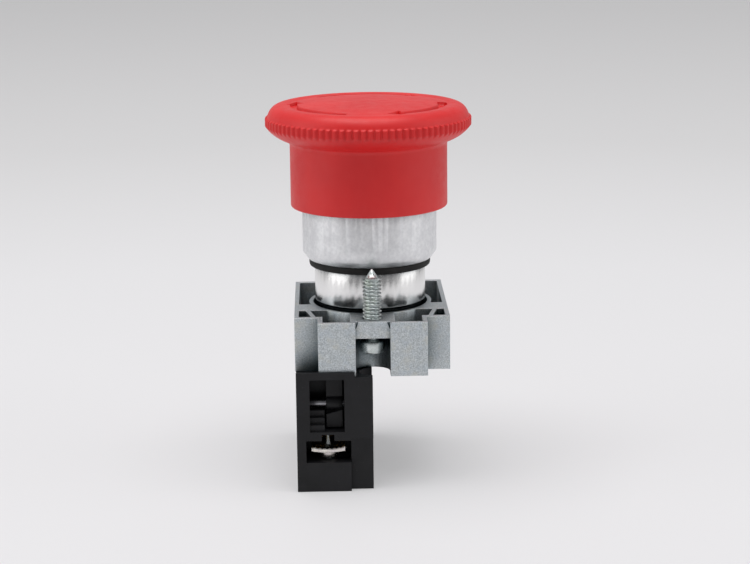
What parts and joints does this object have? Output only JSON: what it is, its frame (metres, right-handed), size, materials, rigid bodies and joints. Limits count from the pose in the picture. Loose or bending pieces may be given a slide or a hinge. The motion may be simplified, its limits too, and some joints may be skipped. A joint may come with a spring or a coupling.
{
  "type": "emergency stop button",
  "caption": "Turn-to-release emergency stop: red mushroom head on a zinc bezel and neck, clamp collar with pointed screws, and a black contact block behind the panel.",
  "frame": {"origin": "centre of the gasket's underside, where the front of the panel lies", "axes": "+Z out of the panel along the button's axis towards the mushroom head, -Y towards the front terminal, +X to the right of it"},
  "size_m": [0.04, 0.04, 0.0726],
  "materials": {
    "red_plastic": "satin moulded",
    "cast_chrome": "satin plated die casting",
    "gasket_rubber": "matte",
    "zinc_casting": "grainy zinc die casting",
    "zinc_steel": "bright zinc plate",
    "case_black": "satin moulded",
    "brass": "turned",
    "steel": "turned",
    "spring_steel": "dark spring steel",
    "natural_nylon": "satin moulded",
    "dark_nylon": "satin moulded",
    "plunger_red": "satin moulded",
    "silver": "silver rivet",
    "nickel_steel": "nickel plate"
  },
  "bodies": {
    "head_body": {"bezel_body": "cast_chrome", "panel_gasket": "gasket_rubber", "guide_sleeve": "dark_nylon", "spindle_seal": "gasket_rubber", "latch_pin_springs": "spring_steel", "return_spring": "spring_steel"},
    "pusher_body": {"pusher": "natural_nylon", "twist_spring": "spring_steel"},
    "mushroom": {"mushroom_cap": "red_plastic", "cap_insert": "brass", "spindle": "steel", "spindle_circlip": "spring_steel", "thrust_washer": "steel"},
    "pin_left": {"latch_pin_left": "steel"},
    "pin_right": {"latch_pin_right": "steel"},
    "collar_body": {"mounting_collar": "zinc_casting", "contact_housing": "case_black", "contact_cover": "case_black", "cover_pins": "steel", "plunger_spring": "spring_steel", "fixed_contact_front": "brass", "fixed_contact_back": "brass", "fixed_tips": "silver", "block_latch_pin": "spring_steel", "block_latch_spring": "spring_steel"},
    "plunger_body": {"plunger": "plunger_red", "contact_bridge": "brass", "bridge_tips": "silver", "bridge_spring": "spring_steel"},
    "clamp_front": {"clamp_screw_front": "zinc_steel"},
    "clamp_back": {"clamp_screw_back": "zinc_steel"},
    "saddle_front": {"saddle_clamp_front": "nickel_steel"},
    "saddle_back": {"saddle_clamp_back": "nickel_steel"},
    "terminal_front": {"terminal_screw_front": "zinc_steel"},
    "terminal_back": {"terminal_screw_back": "zinc_steel"},
    "latch_lever": {"block_latch": "case_black"}
  },
  "joints": [
    {"name": "push", "type": "slide", "parent": "head_body", "child": "pusher_body", "axis": [0, 0, -1], "range_m": [0, 0.006], "stiffness_N_per_m": 800, "springref_m": -0.006, "deforming": ["return_spring"]},
    {"name": "turn_to_release", "type": "hinge", "parent": "pusher_body", "child": "mushroom", "pos_m": [0, 0, 0], "axis": [0, 0, -1], "range_deg": [0, 45], "stiffness_Nm_per_rad": 0.03, "springref_deg": -17.19},
    {"name": "latch_pin_left_in", "type": "slide", "parent": "head_body", "child": "pin_left", "axis": [1, 0, 0], "range_m": [0, 0.001]},
    {"name": "latch_pin_right_in", "type": "slide", "parent": "head_body", "child": "pin_right", "axis": [-1, 0, 0], "range_m": [0, 0.001]},
    {"name": "collar_pull_off", "type": "slide", "parent": "head_body", "child": "collar_body", "axis": [0, 0, -1], "range_m": [0, 0.03]},
    {"name": "plunger_stroke", "type": "slide", "parent": "collar_body", "child": "plunger_body", "axis": [0, 0, -1], "range_m": [0, 0.004], "deforming": ["plunger_spring"]},
    {"name": "clamp_screw_front_back_out", "type": "slide", "parent": "collar_body", "child": "clamp_front", "axis": [0, 0, -1], "range_m": [-0.0008, 0.0085]},
    {"name": "clamp_screw_back_back_out", "type": "slide", "parent": "collar_body", "child": "clamp_back", "axis": [0, 0, -1], "range_m": [-0.0008, 0.0085]},
    {"name": "saddle_front_lift", "type": "slide", "parent": "collar_body", "child": "saddle_front", "axis": [0, 0, -1], "range_m": [-0.00015, 0.0002]},
    {"name": "terminal_screw_front_turn", "type": "hinge", "parent": "collar_body", "child": "terminal_front", "pos_m": [-0.0088, -0.0156, -0.034], "axis": [0, 0, 1], "range_deg": [-90, 120]},
    {"name": "saddle_back_lift", "type": "slide", "parent": "collar_body", "child": "saddle_back", "axis": [0, 0, -1], "range_m": [-0.00015, 0.0002]},
    {"name": "terminal_screw_back_turn", "type": "hinge", "parent": "collar_body", "child": "terminal_back", "pos_m": [-0.0088, 0.0156, -0.034], "axis": [0, 0, 1], "range_deg": [-90, 120]},
    {"name": "block_latch_release", "type": "hinge", "parent": "collar_body", "child": "latch_lever", "pos_m": [-0.0075, -0.01555, -0.024], "axis": [1, 0, 0], "range_deg": [0, 8], "stiffness_Nm_per_rad": 0.002, "springref_deg": -5.73, "deforming": ["block_latch_spring"]}
  ],
  "couplings": [
    {"joint": "latch_pin_left_in", "follows": "push", "ratio": 0.16667},
    {"joint": "latch_pin_right_in", "follows": "push", "ratio": 0.16667},
    {"joint": "plunger_stroke", "follows": "push", "ratio": 0.66667},
    {"joint": "terminal_screw_front_turn", "follows": "saddle_front_lift", "rad_per_m": 10472},
    {"joint": "terminal_screw_back_turn", "follows": "saddle_back_lift", "rad_per_m": 10472}
  ]
}
